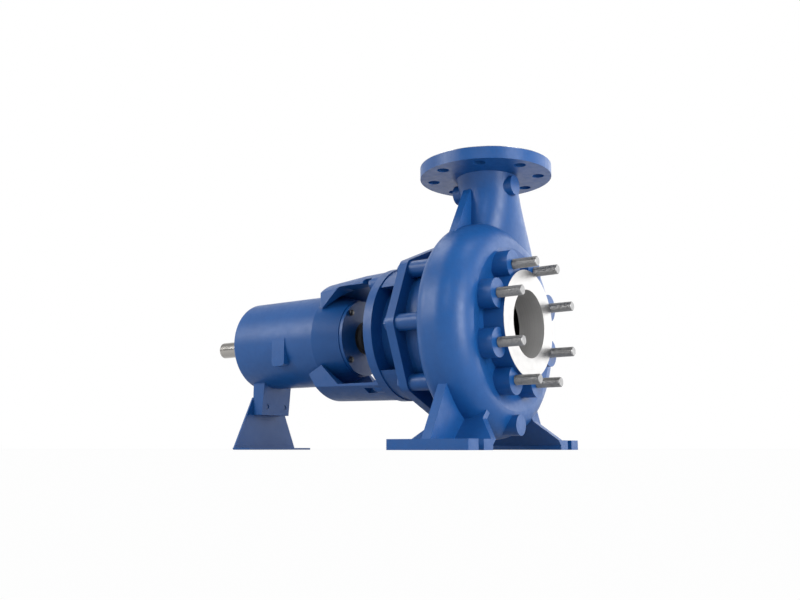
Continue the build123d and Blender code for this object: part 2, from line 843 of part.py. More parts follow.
def impeller_vane(angle):
    """One leaning vane standing on the shroud."""
    inner, outer = impeller_nose_diameter / 2 - 2, impeller_diameter / 2
    length = outer - inner
    blade = block((shroud_front_x - 1, 0, -vane_thickness / 2), (vane_front_x, length, vane_thickness / 2))
    return Rot(angle, 0, 0) * Pos(0, inner, 0) * Rot(-vane_lean, 0, 0) * blade


def make_impeller():
    """Open vortex impeller: shroud, hub, nose and vanes."""
    shroud = rod(shroud_back_x, shroud_front_x, impeller_diameter)
    hub = rod(hub_back_x, shroud_front_x, impeller_hub_diameter)
    nose = rod(shroud_front_x, shroud_front_x + shroud_thickness, impeller_nose_diameter)
    rim = rod(hub_back_x, vane_front_x, impeller_diameter)
    vanes = [impeller_vane(360.0 * k / vane_count) for k in range(vane_count)]
    impeller = fuse([shroud, hub, nose] + vanes) & rim
    impeller = impeller - rod(hub_back_x - 1, shroud_front_x, impeller_seat_diameter + 2 * fit_gap)
    impeller = impeller - rod(shroud_front_x - 1, vane_front_x, impeller_screw_diameter + 2 * screw_gap)
    return impeller - impeller_key_blank(fit_gap)


def make_impeller_screw():
    """Hex screw that holds the impeller on the shaft."""
    seat = shroud_front_x + shroud_thickness
    washer = impeller_screw_diameter * washer_height_ratio
    reach = shroud_thickness + 2.5 * impeller_screw_diameter
    return [hex_screw(seat, -1, impeller_screw_diameter, reach, 0, 0, washer)]


def make_impeller_washer():
    """Thick washer between the impeller screw and the impeller nose."""
    seat = shroud_front_x + shroud_thickness
    washer = impeller_screw_diameter * washer_height_ratio
    outside, inside = 2.4 * impeller_screw_diameter, impeller_screw_diameter + 2 * screw_gap
    return [tube(seat, seat + washer, outside, inside)]


def make_seal_cover():
    """Gland plate that closes the seal chamber and holds the stationary seat."""
    front, back = cover_hub_back_x, cover_hub_back_x - seal_cover_thickness
    plate = rod(front, back, seal_cover_diameter)
    spigot = rod(front + seal_cover_thickness, front, seal_chamber_diameter - 2 * seat_gap)
    cover = plate + spigot - rod(front + 2 * seal_cover_thickness, back - 1, sleeve_diameter + 4)
    seat_bottom = front + seal_cover_thickness - seal_seat_width + 1
    cover = cover - rod(front + 2 * seal_cover_thickness, seat_bottom, seal_seat_diameter + 2 * fit_gap)
    for y, z in round_places(seal_cover_screw_circle, seal_cover_screws, 45):
        cover = cover - rod(front + 1, back - 1, seal_cover_screw_diameter + 2 * screw_gap, y, z)
    return [cover]


def make_seal_cover_screws():
    """Hex screws of the gland plate."""
    seat = cover_hub_back_x - seal_cover_thickness
    reach = seal_cover_thickness + seal_cover_screw_bite
    places = round_places(seal_cover_screw_circle, seal_cover_screws, 45)
    return [hex_screw(seat, 1, seal_cover_screw_diameter, reach, y, z) for y, z in places]


def seat_face_x():
    """Station of the sliding face between seal seat and seal ring."""
    return cover_hub_back_x + seal_cover_thickness + 1


def make_seal_seat():
    """Stationary ring of the mechanical seal."""
    face = seat_face_x()
    return [tube(face, face - seal_seat_width, seal_seat_diameter, sleeve_diameter + 2)]


def make_seal_ring():
    """Rotating ring of the mechanical seal."""
    face = seat_face_x() + seat_gap
    return [tube(face, face + seal_ring_width, seal_ring_diameter, sleeve_diameter + 2 * fit_gap)]


def seal_collar_x():
    """Back face of the drive collar, where the seal bellows ends."""
    return hub_back_x - seal_collar_offset - seal_collar_width


def make_seal_bellows():
    """Metal bellows that presses the seal ring on its seat."""
    start = seat_face_x() + seat_gap + seal_ring_width
    end = seal_collar_x()
    crest = seal_ring_diameter / 2
    step = (end - start) / (2 * bellows_folds)
    inside, outside = [], []
    for k in range(2 * bellows_folds + 1):
        dip = bellows_depth * (k % 2)
        outside.append((start + k * step, crest - dip))
        inside.append((start + k * step, crest - dip - bellows_wall))
    return [turned(outside + inside[::-1])]


def make_seal_collar():
    """Drive collar fixed on the sleeve."""
    start = seal_collar_x()
    return [tube(start, start + seal_collar_width, seal_collar_diameter, sleeve_diameter + 2 * fit_gap)]


def bearing_pitch(bore, outside):
    """Radius of the circle on which the rolling elements sit."""
    return (bore + outside) / 4


def make_front_races():
    """Inner and outer race of the roller bearing at the pump end."""
    start, end = front_bearing_back_x, front_bearing_front_x
    pitch = bearing_pitch(front_bearing_bore, front_bearing_outside)
    track_in = 2 * (pitch - roller_diameter / 2 - race_groove_gap)
    track_out = 2 * (pitch + roller_diameter / 2 + race_groove_gap)
    lip = track_out - 2 * race_lip_height
    inner = tube(start, end, track_in, front_bearing_bore + 2 * fit_gap)
    outer = tube(start, end, front_bearing_outside, lip)
    middle = (start + end) / 2
    half = roller_length / 2 + cage_gap
    outer = outer - tube(middle - half, middle + half, track_out, lip - race_lip_height)
    return inner, outer


def roller_places():
    """Centres of the rollers about the shaft."""
    pitch = 2 * bearing_pitch(front_bearing_bore, front_bearing_outside)
    return round_places(pitch, roller_count, 15)


def make_front_rollers():
    """Cylindrical rollers of the front bearing."""
    middle = (front_bearing_back_x + front_bearing_front_x) / 2
    half = roller_length / 2
    return [rod(middle - half, middle + half, roller_diameter, y, z) for y, z in roller_places()]


def make_front_cage():
    """Cage between the rollers of the front bearing."""
    middle = (front_bearing_back_x + front_bearing_front_x) / 2
    half = roller_length / 2 + cage_gap
    pitch = 2 * bearing_pitch(front_bearing_bore, front_bearing_outside)
    band = roller_diameter / 4
    cage = tube(middle - half - cage_bar, middle + half + cage_bar, pitch + band, pitch - band)
    for y, z in roller_places():
        cage = cage - rod(middle - half, middle + half, roller_diameter + 2 * cage_gap, y, z)
    return [cage]


def make_rear_races():
    """Inner and outer race of the ball bearing at the drive end."""
    start, end = rear_bearing_back_x, rear_bearing_front_x
    middle = (start + end) / 2
    pitch = bearing_pitch(rear_bearing_bore, rear_bearing_outside)
    land = ball_diameter / 4
    track = Pos(middle, 0, 0) * Rot(0, 90, 0) * Torus(pitch, ball_diameter / 2 + race_groove_gap)
    inner = tube(start, end, 2 * (pitch - land), rear_bearing_bore + 2 * fit_gap) - track
    outer = tube(start, end, rear_bearing_outside, 2 * (pitch + land)) - track
    return inner, outer


def ball_places():
    """Centres of the balls about the shaft."""
    return round_places(2 * bearing_pitch(rear_bearing_bore, rear_bearing_outside), ball_count, 0)


def make_rear_balls():
    """Balls of the rear bearing."""
    middle = (rear_bearing_back_x + rear_bearing_front_x) / 2
    return [Pos(middle, y, z) * Sphere(ball_diameter / 2) for y, z in ball_places()]


def make_rear_cage():
    """Cage between the balls of the rear bearing."""
    middle = (rear_bearing_back_x + rear_bearing_front_x) / 2
    pitch = 2 * bearing_pitch(rear_bearing_bore, rear_bearing_outside)
    half = ball_diameter / 2 + cage_bar
    band = ball_diameter / 5
    cage = tube(middle - half, middle + half, pitch + band, pitch - band)
    for y, z in ball_places():
        cage = cage - Pos(middle, y, z) * Sphere(ball_diameter / 2 + cage_gap)
    return [cage]


def make_lock_washer():
    """Washer between the rear bearing and its lock nut."""
    start = rear_bearing_back_x - lock_washer_thickness
    return [tube(start, rear_bearing_back_x, lock_nut_diameter - 4, rear_bearing_bore + 2 * fit_gap)]


def make_lock_nut():
    """Slotted nut that holds the rear bearing on the shaft."""
    front = rear_bearing_back_x - lock_washer_thickness
    back = front - lock_nut_width
    nut = tube(front, back, lock_nut_diameter, rear_bearing_bore + 2 * fit_gap)
    notch_width, notch_depth = lock_nut_diameter / 10, lock_nut_diameter / 20
    reach = lock_nut_diameter / 2
    for k in range(4):
        low = (back - 1, reach - notch_depth, -notch_width / 2)
        notch = block(low, (front + 1, reach + 1, notch_width / 2))
        nut = nut - Rot(90.0 * k, 0, 0) * notch
    return [nut]


def make_flinger():
    """Rubber ring that keeps spray off the front bearing cover."""
    back = housing_front_x + bearing_cover_thickness + flinger_gap
    return [tube(back, back + flinger_width, flinger_diameter, front_seal_land + 2 * fit_gap)]


def support_foot_back_x():
    """Back face of the foot lug, where the sheet foot is bolted on."""
    return housing_back_x + foot_lug_inset


def make_support_foot():
    """Bent sheet foot: trapezoid upright and a floor flange that points forwards."""
    front = support_foot_back_x()
    back = front - support_sheet
    half_bottom, half_top = support_foot_width / 2, support_top_width / 2
    upright = cross_plate(
        [
            (-half_bottom, floor_z),
            (half_bottom, floor_z),
            (half_top, -support_top_drop),
            (-half_top, -support_top_drop),
        ],
        back,
        front,
    )
    toe = front + support_foot_reach
    floor_flange = block((back, -half_bottom, floor_z), (toe, half_bottom, floor_z + support_sheet))
    foot_sheet = upright + floor_flange
    bend_x, bend_z = back + support_bend, floor_z + support_bend
    corner = block((back - 1, -half_bottom, floor_z - 1), (bend_x, half_bottom, bend_z))
    bend = Pos(bend_x, 0, bend_z) * Rot(90, 0, 0) * Cylinder(support_bend, support_foot_width)
    foot_sheet = foot_sheet - (corner - bend)
    drill = foot_bolt_diameter + 2 * screw_gap
    for y in (-foot_bolt_spread / 2, foot_bolt_spread / 2):
        foot_sheet = foot_sheet - rod(back - 1, front + 1, drill, y, -foot_bolt_drop)
    hole_x = front + support_foot_reach / 2
    for y in (-support_hole_spread / 3, support_hole_spread / 3):
        foot_sheet = foot_sheet - Pos(hole_x, y, floor_z) * Cylinder(foot_slot_width / 2, 4 * support_sheet)
    return [foot_sheet]


def foot_bolt_places():
    """Places of the two bolts through the foot lug."""
    return [(-foot_bolt_spread / 2, -foot_bolt_drop), (foot_bolt_spread / 2, -foot_bolt_drop)]


def make_foot_bolts():
    """Bolts from the back of the sheet foot through the foot lug."""
    seat = support_foot_back_x() - support_sheet
    reach = support_sheet + foot_lug_thickness
    return [hex_screw(seat, 1, foot_bolt_diameter, reach, y, z) for y, z in foot_bolt_places()]


def build_all():
    """Every node of the pump by name."""
    front_inner, front_outer = make_front_races()
    rear_inner, rear_outer = make_rear_races()
    return {
        "volute_casing": [make_volute_casing()],
        "suction_studs": make_suction_studs(),
        "cover_gasket": make_cover_gasket(),
        "casing_cover": make_casing_cover(),
        "adapter": make_adapter(),
        "casing_screws": make_casing_screws(),
        "bearing_bracket": make_bearing_bracket(),
        "bracket_screws": make_bracket_screws(),
        "front_bearing_cover": make_front_bearing_cover(),
        "front_cover_screws": cover_screws(housing_front_x, 1),
        "rear_bearing_cover": make_rear_bearing_cover(),
        "rear_cover_screws": cover_screws(housing_back_x, -1),
        "front_lip_seal": [lip_seal(housing_front_x, 1, front_seal_land)],
        "rear_lip_seal": [lip_seal(housing_back_x, -1, rear_seal_land)],
        "front_outer_race": [front_outer],
        "front_inner_race": [front_inner],
        "front_rollers": make_front_rollers(),
        "front_cage": make_front_cage(),
        "rear_outer_race": [rear_outer],
        "rear_inner_race": [rear_inner],
        "rear_balls": make_rear_balls(),
        "rear_cage": make_rear_cage(),
        "lock_washer": make_lock_washer(),
        "lock_nut": make_lock_nut(),
        "flinger": make_flinger(),
        "shaft": [make_shaft()],
        "coupling_key": [coupling_key_blank(0)],
        "impeller_key": [impeller_key_blank(0)],
        "shaft_sleeve": make_shaft_sleeve(),
        "impeller": [make_impeller()],
        "impeller_screw": make_impeller_screw(),
        "impeller_washer": make_impeller_washer(),
        "seal_cover": make_seal_cover(),
        "seal_cover_screws": make_seal_cover_screws(),
        "seal_seat": make_seal_seat(),
        "seal_ring": make_seal_ring(),
        "seal_bellows": make_seal_bellows(),
        "seal_collar": make_seal_collar(),
        "support_foot": make_support_foot(),
        "foot_bolts": make_foot_bolts(),
    }


os.makedirs("parts", exist_ok=True)
for node, solids in build_all().items():
    lifted = [Pos(0, 0, shaft_height) * solid for body in solids for solid in body.solids()]
    export_step(Compound(children=lifted), f"parts/{node}.step")
    print(node, len(lifted))
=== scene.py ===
# %% [markdown]
# # Vortex centrifugal pump: dressing the solids
#
# The pump already exists as forty named pieces, packed as a fixed frame. This script loads that frame,
# sets up the studio and the camera, gives every piece a finish, and swaps the plain screws and
# studs for ones with chamfers and real threads. Nothing is moved: a piece lies where the solid lies.

from math import cos, pi, radians, sin, sqrt

import bpy
from mathutils import Matrix, Vector


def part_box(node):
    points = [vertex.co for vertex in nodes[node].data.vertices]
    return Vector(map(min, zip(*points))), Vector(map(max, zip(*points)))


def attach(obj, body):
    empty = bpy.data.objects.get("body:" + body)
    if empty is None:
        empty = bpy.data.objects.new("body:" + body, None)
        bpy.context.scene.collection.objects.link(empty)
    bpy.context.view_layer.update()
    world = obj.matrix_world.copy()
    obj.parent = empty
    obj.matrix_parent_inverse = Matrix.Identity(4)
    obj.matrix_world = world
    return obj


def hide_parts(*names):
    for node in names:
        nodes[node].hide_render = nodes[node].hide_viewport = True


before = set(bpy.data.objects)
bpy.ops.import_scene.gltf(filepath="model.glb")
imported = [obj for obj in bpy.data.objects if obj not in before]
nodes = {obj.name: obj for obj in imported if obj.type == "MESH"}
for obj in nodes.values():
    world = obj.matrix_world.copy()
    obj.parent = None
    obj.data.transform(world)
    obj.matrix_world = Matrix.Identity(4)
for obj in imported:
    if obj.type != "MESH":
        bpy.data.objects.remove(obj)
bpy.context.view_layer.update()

# %% [markdown]
# ## Measures that the looks need
#
# The origin is on the floor under the shaft, half way along the pump. The shaft runs along X.
# These few sizes repeat the ones of the solids, in metres, so that finishes and screws meet them.

# %% Main measures
shaft_height = 0.180
suction_face_x = 0.294
discharge_axis_x = 0.226
flange_top_z = 0.430
shaft_line = Vector((0.0, 0.0, shaft_height))
print("suction face", suction_face_x, "discharge axis", discharge_axis_x)

# %% [markdown]
# ## Camera
#
# The photograph was taken almost at floor level, looking slightly up, so the underside of the
# flange is seen. The place of the eye was solved from the circles of both flanges and the feet.

# %% Camera
eye = Vector((0.8404, -1.1269, 0.0021))
turn, tilt = radians(34.471), radians(9.76)
look = Vector((-sin(turn) * cos(tilt), cos(turn) * cos(tilt), sin(tilt)))
lens = bpy.data.cameras.new("camera")
lens.sensor_width = 36.0
lens.lens = 38.85
lens.clip_start = 0.0005
camera = bpy.data.objects.new("camera", lens)
bpy.context.scene.collection.objects.link(camera)
camera.location = eye
camera.rotation_euler = look.to_track_quat("-Z", "Y").to_euler()
bpy.context.scene.camera = camera
bpy.context.scene.view_settings.view_transform = "Standard"
print("camera looks along", [round(v, 3) for v in look])

# %% [markdown]
# ## Building shader trees
#
# Every finish here is a small tree of nodes. A few helpers keep the cells short: one adds a node and
# fills its sockets by name, one joins an output to an input, and the others add the nodes that every
# tree needs, for sums, ranges and mixed colours.

# %% Node helpers
def add(tree, kind, **values):
    """Adds a node; names with an underscore stand for sockets with a space."""
    made = tree.nodes.new(kind)
    for name, value in values.items():
        label = name.replace("_", " ")
        if hasattr(made, name):
            setattr(made, name, value)
        elif label in made.inputs:
            made.inputs[label].default_value = value
        else:
            made.inputs[label.title()].default_value = value
    return made


def join(tree, source, target):
    """Joins one output socket to one input socket."""
    tree.links.new(source, target)


def math_node(tree, operation, first, second=0.5, clamp=False):
    """One arithmetic node; each operand is a number or an output socket."""
    made = tree.nodes.new("ShaderNodeMath")
    made.operation = operation
    made.use_clamp = clamp
    for slot, value in zip(made.inputs, (first, second)):
        if isinstance(value, (int, float)):
            slot.default_value = value
        else:
            join(tree, value, slot)
    return made.outputs[0]


def map_node(tree, value, low, high, new_low, new_high):
    """Maps a value from one range to another, clamped at both ends."""
    made = add(tree, "ShaderNodeMapRange", From_Min=low, From_Max=high)
    made.inputs["To Min"].default_value = new_low
    made.inputs["To Max"].default_value = new_high
    join(tree, value, made.inputs["Value"])
    return made.outputs["Result"]


def stretch(tree, value, new_low=0.0, new_high=1.0):
    """Stretches the middle of a noise, where most of it lies, to a full range."""
    return map_node(tree, value, 0.3, 0.7, new_low, new_high)


def mix_colours(tree, factor, first, second):
    """Mixes two colours; each is a tuple or an output socket."""
    made = tree.nodes.new("ShaderNodeMix")
    made.data_type = "RGBA"
    join(tree, factor, made.inputs["Factor"])
    for name, value in (("A", first), ("B", second)):
        slot = [s for s in made.inputs if s.name == name and s.type == "RGBA"][0]
        if isinstance(value, tuple):
            slot.default_value = value
        else:
            join(tree, value, slot)
    return [s for s in made.outputs if s.type == "RGBA"][0]


print("helpers ready")

# %% [markdown]
# ## Floor, backdrop and light
#
# The photograph is a plain cut-out on white. A white backdrop could be lit until it clips, but that
# would wash out the paint too. Here the white is given only to rays from the camera and to mirror
# rays, so the lamps stay at a plain level. Mirror rays find the backdrop behind the pump and a
# darker room behind the camera, which is what gives the edges their pale rims and keeps the sides
# that face the camera deep in colour. The floor keeps the shadow.

# %% Backdrop
pure_white = (1.0, 1.0, 1.0, 1.0)
room_strength = 0.52
darkest_wall, darkest_ceiling = 0.12, 0.25
world = bpy.data.worlds.new("studio")
bpy.context.scene.world = world
world.use_nodes = True
sky = world.node_tree
sky.nodes.clear()
path = add(sky, "ShaderNodeLightPath")
soft = add(sky, "ShaderNodeBackground", Color=(0.93, 0.96, 1.0, 1.0), Strength=room_strength)
white = add(sky, "ShaderNodeBackground", Color=pure_white, Strength=1.0)
mirrored = add(sky, "ShaderNodeBackground", Color=pure_white)
direction = add(sky, "ShaderNodeTexCoord").outputs["Generated"]
behind = add(sky, "ShaderNodeVectorMath", operation="DOT_PRODUCT")
join(sky, direction, behind.inputs[0])
behind.inputs[1].default_value = look
height_of = sky.nodes.new("ShaderNodeSeparateXYZ")
join(sky, direction, height_of.inputs[0])
wall = map_node(sky, behind.outputs["Value"], -0.30, 0.30, darkest_wall, 1.0)
ceiling = map_node(sky, height_of.outputs["Z"], 0.50, 0.80, 1.0, darkest_ceiling)
join(sky, math_node(sky, "MULTIPLY", wall, ceiling), mirrored.inputs["Strength"])
seen, through = path.outputs["Is Camera Ray"], path.outputs["Is Transmission Ray"]
for_eye = math_node(sky, "MAXIMUM", seen, through)
for_mirror = sky.nodes.new("ShaderNodeMixShader")
join(sky, path.outputs["Is Glossy Ray"], for_mirror.inputs[0])
join(sky, soft.outputs[0], for_mirror.inputs[1])
join(sky, mirrored.outputs[0], for_mirror.inputs[2])
blend_sky = sky.nodes.new("ShaderNodeMixShader")
join(sky, for_eye, blend_sky.inputs[0])
join(sky, for_mirror.outputs[0], blend_sky.inputs[1])
join(sky, white.outputs[0], blend_sky.inputs[2])
sky_out = add(sky, "ShaderNodeOutputWorld")
join(sky, blend_sky.outputs[0], sky_out.inputs["Surface"])
print("backdrop white to the camera, plain to the object")

# %% [markdown]
# The floor is a matt sheet just under the feet. To the camera it is nearly white, and it keeps the
# faint shadow of the pump. In a mirror it is dark near the pump and white further off.

# %% Floor
floor_size = 30.0
floor_drop = 0.0004
floor_white = 0.965
bpy.ops.object.select_all(action="DESELECT")
bpy.ops.mesh.primitive_plane_add(size=floor_size, location=(0.0, 0.0, -floor_drop))
floor = bpy.context.object
floor.name = "studio_floor"
floor_finish = bpy.data.materials.new("pale_floor")
floor_finish.use_nodes = True
tree = floor_finish.node_tree
tree.nodes.clear()
path = add(tree, "ShaderNodeLightPath")
matt = add(tree, "ShaderNodeBsdfDiffuse", Color=(0.55, 0.55, 0.55, 1.0))
glow = add(tree, "ShaderNodeEmission", Color=pure_white, Strength=1.0)
place = add(tree, "ShaderNodeTexCoord").outputs["Object"]
distance = add(tree, "ShaderNodeVectorMath", operation="LENGTH")
join(tree, place, distance.inputs[0])
far_off = map_node(tree, distance.outputs["Value"], 0.22, 0.70, 0.12, 0.96)
for_mirror = math_node(tree, "MULTIPLY", path.outputs["Is Glossy Ray"], far_off)
seen, through = path.outputs["Is Camera Ray"], path.outputs["Is Transmission Ray"]
for_eye = math_node(tree, "MAXIMUM", seen, through)
share = math_node(tree, "MAXIMUM", math_node(tree, "MULTIPLY", for_eye, floor_white), for_mirror)
blend_floor = tree.nodes.new("ShaderNodeMixShader")
join(tree, share, blend_floor.inputs[0])
join(tree, matt.outputs[0], blend_floor.inputs[1])
join(tree, glow.outputs[0], blend_floor.inputs[2])
floor_out = add(tree, "ShaderNodeOutputMaterial")
join(tree, blend_floor.outputs[0], floor_out.inputs["Surface"])
floor.data.materials.append(floor_finish)
print("floor size", floor_size)

# %% [markdown]
# ## Lamps
#
# Soft lamps stand for studio soft boxes. Mirror directions worked out from the photograph tell where
# they hung: a key on the left of the camera, a low one in front of the suction side, and one behind
# on the right that gives the faces towards it their pale sheen. Three weak ones put the highlights
# on the neck, on the flange and on top of the casing.

# %% Lamps
def soft_box(name, place, aim, size, watts):
    """A rectangular area lamp at a place, turned to its aim; size is width and height."""
    lamp = bpy.data.lights.new(name, "AREA")
    lamp.shape = "RECTANGLE"
    lamp.size, lamp.size_y = size
    lamp.energy = watts
    body = bpy.data.objects.new(name, lamp)
    bpy.context.scene.collection.objects.link(body)
    body.location = place
    body.rotation_euler = (Vector(aim) - Vector(place)).to_track_quat("-Z", "Y").to_euler()
    body.visible_camera = False


middle = (0.0, 0.0, 0.20)
casing_middle = (0.2, 0.0, 0.2)
soft_box("key_box", (-1.4, -2.0, 1.3), middle, (1.3, 1.2), 30.0)
soft_box("side_box", (1.25, 1.9, 0.7), casing_middle, (3.0, 1.8), 21.0)
soft_box("front_box", (2.2, -0.45, 0.50), casing_middle, (0.8, 1.1), 28.0)
soft_box("neck_strip", (-0.52, 0.1, 1.5), casing_middle, (1.0, 0.4), 4.0)
soft_box("flange_box", (0.95, -1.78, 1.22), casing_middle, (0.7, 0.45), 4.0)
soft_box("ceiling_box", (0.83, 0.14, 1.54), casing_middle, (0.6, 0.6), 2.5)

# %% [markdown]
# ## Shared surface effects
#
# Sand casting leaves a fine grain, paint levels it to an orange peel, and turning leaves rings. Each
# effect is a node group that puts out heights and masks; a material feeds them where it wants them.

# %% Effect groups
bands_per_metre = 900.0


def start_group(name, inputs, outputs):
    """A shader group with number inputs and their usual values, and number outputs."""
    group = bpy.data.node_groups.new(name, "ShaderNodeTree")
    group.interface.new_socket("Vector", in_out="INPUT", socket_type="NodeSocketVector")
    number = "NodeSocketFloat"
    for label, value in inputs:
        socket = group.interface.new_socket(label, in_out="INPUT", socket_type=number)
        socket.default_value = value
    for label in outputs:
        group.interface.new_socket(label, in_out="OUTPUT", socket_type=number)
    return group, group.nodes.new("NodeGroupInput"), group.nodes.new("NodeGroupOutput")


def noise(tree, vector, scale, detail=2.0, roughness=0.5):
    """A noise texture on a vector."""
    made = add(tree, "ShaderNodeTexNoise", Scale=scale, Detail=detail, Roughness=roughness)
    join(tree, vector, made.inputs["Vector"])
    return made.outputs["Fac"]


def cast_skin_group():
    """Sand grain under paint: a height, slow cloudiness and a finer mottle."""
    group, enter, leave = start_group("cast_skin", [("Grain", 0.5)], ["Height", "Clouds", "Mottle"])
    vector = enter.outputs["Vector"]
    fine = noise(group, vector, scale=620.0, detail=3.0, roughness=0.55)
    coarse = noise(group, vector, scale=150.0)
    waves = noise(group, vector, scale=32.0, detail=1.0, roughness=0.4)
    mixed = math_node(group, "MULTIPLY", fine, enter.outputs["Grain"])
    mixed = math_node(group, "ADD", mixed, coarse)
    swell = math_node(group, "MULTIPLY", waves, 3.0)
    join(group, math_node(group, "ADD", mixed, swell), leave.inputs["Height"])
    join(group, noise(group, vector, scale=7.0), leave.inputs["Clouds"])
    mottle = noise(group, vector, scale=85.0, detail=3.0, roughness=0.6)
    join(group, mottle, leave.inputs["Mottle"])
    return group


def turned_rings_group():
    """Fine rings left by turning, about the X axis of the vector, on faces and on round sides."""
    group, enter, leave = start_group("turned_rings", [("Pitch", 0.0008)], ["Height", "Streak"])
    parts = group.nodes.new("ShaderNodeSeparateXYZ")
    join(group, enter.outputs["Vector"], parts.inputs[0])
    square_y = math_node(group, "MULTIPLY", parts.outputs["Y"], parts.outputs["Y"])
    square_z = math_node(group, "MULTIPLY", parts.outputs["Z"], parts.outputs["Z"])
    distance = math_node(group, "SQRT", math_node(group, "ADD", square_y, square_z))
    travel = math_node(group, "ADD", distance, parts.outputs["X"])
    count = math_node(group, "DIVIDE", travel, enter.outputs["Pitch"])
    ring = math_node(group, "SINE", math_node(group, "MULTIPLY", count, 2 * pi))
    join(group, ring, leave.inputs["Height"])
    bands = group.nodes.new("ShaderNodeCombineXYZ")
    join(group, math_node(group, "MULTIPLY", travel, bands_per_metre), bands.inputs["X"])
    streak = noise(group, bands.outputs[0], scale=1.0, detail=3.0, roughness=0.6)
    join(group, streak, leave.inputs["Streak"])
    return group


def settled_dust_group():
    """A thin veil on faces that look up, broken by noise."""
    group, enter, leave = start_group("settled_dust", [("Amount", 0.3)], ["Mask"])
    geometry = group.nodes.new("ShaderNodeNewGeometry")
    parts = group.nodes.new("ShaderNodeSeparateXYZ")
    join(group, geometry.outputs["Normal"], parts.inputs[0])
    facing = map_node(group, parts.outputs["Z"], 0.55, 1.0, 0.0, 1.0)
    broken = noise(group, enter.outputs["Vector"], scale=22.0, detail=4.0, roughness=0.6)
    patches = map_node(group, broken, 0.35, 0.75, 0.2, 1.0)
    veil = math_node(group, "MULTIPLY", facing, patches)
    join(group, math_node(group, "MULTIPLY", veil, enter.outputs["Amount"]), leave.inputs["Mask"])
    return group


cast_skin = cast_skin_group()
turned_rings = turned_rings_group()
settled_dust = settled_dust_group()
print("effect groups", [g.name for g in bpy.data.node_groups])

# %% [markdown]
# ## Starting a finish
#
# Every finish begins the same way: object coordinates, one Principled shader and an output. Object
# coordinates are in metres here, because every piece lies at the origin with its place in its mesh.

# %% Finish helpers
def start_finish(name):
    """A material with object coordinates, one Principled shader and an output."""
    finish = bpy.data.materials.new(name)
    finish.use_nodes = True
    tree = finish.node_tree
    tree.nodes.clear()
    shader = tree.nodes.new("ShaderNodeBsdfPrincipled")
    out = tree.nodes.new("ShaderNodeOutputMaterial")
    join(tree, shader.outputs[0], out.inputs["Surface"])
    coords = tree.nodes.new("ShaderNodeTexCoord")
    return finish, tree, shader, coords.outputs["Object"]


def use_group(tree, group, vector, **values):
    """Places an effect group on a vector with its own values."""
    made = tree.nodes.new("ShaderNodeGroup")
    made.node_tree = group
    join(tree, vector, made.inputs["Vector"])
    for name, value in values.items():
        made.inputs[name].default_value = value
    return made


def about_shaft(tree, vector):
    """Shifts object coordinates so that the shaft is their X axis."""
    made = add(tree, "ShaderNodeMapping")
    made.inputs["Location"].default_value = -shaft_line
    join(tree, vector, made.inputs["Vector"])
    return made.outputs[0]


def emboss(tree, shader, height, depth):
    """A bump of a given depth in metres under the shader."""
    made = add(tree, "ShaderNodeBump", Strength=1.0, Distance=depth)
    join(tree, height, made.inputs["Height"])
    join(tree, made.outputs[0], shader.inputs["Normal"])


print("finish helpers ready")

# %% [markdown]
# ## Blue enamel
#
# The castings are sprayed with one coat of satin blue enamel. One flat blue would look like plastic:
# on a casting the film is a little lighter where it is thick, the sand grain shows through it, and
# the gloss varies. The colour stays deep and the paleness of side faces comes from reflections.

# %% Blue enamel
deep_blue = (0.0048, 0.074, 0.266, 1.0)
thick_blue = (0.0080, 0.093, 0.322, 1.0)
thin_blue = (0.0033, 0.052, 0.198, 1.0)
dust_grey = (0.30, 0.31, 0.32, 1.0)
dust_amount = 0.04
casting_grain, casting_depth = 0.8, 0.00012


def enamel(tree, shader, coords, grain, depth, rough=(0.34, 0.46)):
    """Wires the blue enamel and returns its colour and roughness outputs."""
    skin = use_group(tree, cast_skin, coords, Grain=grain)
    tone = stretch(tree, skin.outputs["Clouds"])
    colour = mix_colours(tree, tone, deep_blue, thick_blue)
    mottle = map_node(tree, skin.outputs["Mottle"], 0.35, 0.7, 0.0, 0.22)
    colour = mix_colours(tree, mottle, colour, thin_blue)
    veil = use_group(tree, settled_dust, coords, Amount=dust_amount).outputs["Mask"]
    colour = mix_colours(tree, veil, colour, dust_grey)
    gloss = stretch(tree, skin.outputs["Mottle"], *rough)
    gloss = math_node(tree, "ADD", gloss, math_node(tree, "MULTIPLY", veil, 0.5), True)
    emboss(tree, shader, skin.outputs["Height"], depth)
    return colour, gloss


def blue_finish(name, grain, depth, rough=(0.34, 0.46)):
    """A material of blue enamel all over."""
    finish, tree, shader, coords = start_finish(name)
    colour, gloss = enamel(tree, shader, coords, grain, depth, rough)
    join(tree, colour, shader.inputs["Base Color"])
    join(tree, gloss, shader.inputs["Roughness"])
    return finish


cast_blue = blue_finish("enamel_on_casting", casting_grain, casting_depth)
sheet_blue = blue_finish("enamel_on_sheet", grain=0.15, depth=0.00004, rough=(0.36, 0.44))
screw_blue = blue_finish("enamel_on_screws", grain=0.2, depth=0.00004)
print("blue finishes", cast_blue.name, sheet_blue.name, screw_blue.name)

# %% [markdown]
# ## The casing: paint outside, machined faces, bare casting inside
#
# On the real casing the suction ring, both bores and the top of the discharge flange are machined
# after casting and stay bare. Splitting the mesh would mean moving a solid, so one material does it
# by place: distances from the shaft and from the neck give masks for each zone. The edges of the
# masks lie half way through the casting's walls, so that none of them shows on the outside.

